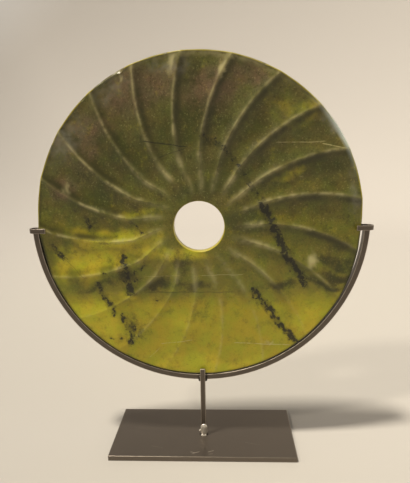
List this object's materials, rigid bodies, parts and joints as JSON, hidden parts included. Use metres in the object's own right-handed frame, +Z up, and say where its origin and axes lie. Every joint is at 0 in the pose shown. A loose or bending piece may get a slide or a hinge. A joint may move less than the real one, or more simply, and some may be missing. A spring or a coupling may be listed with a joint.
{
  "type": "jade bi disc on a steel display stand",
  "caption": "Round flat jade disc with a central hole and swirling flutes on its face, resting upright in a thin steel cradle on a flat rectangular base.",
  "frame": {"origin": "centre of the base plate's underside", "axes": "+Z up, the carved face of the disc looks along -Y, +X to the right when seen from the front"},
  "size_m": [0.3728, 0.1, 0.433],
  "materials": {
    "patinated_steel": "dark warm patina, satin",
    "jade": "polished, mottled green with dark veins"
  },
  "bodies": {
    "root": {"base_plate": "patinated_steel", "upright_with_front_claw": "patinated_steel", "cradle_arc": "patinated_steel", "back_claw": "patinated_steel", "left_clip": "patinated_steel", "right_clip": "patinated_steel", "jade_disc": "jade"}
  },
  "joints": []
}
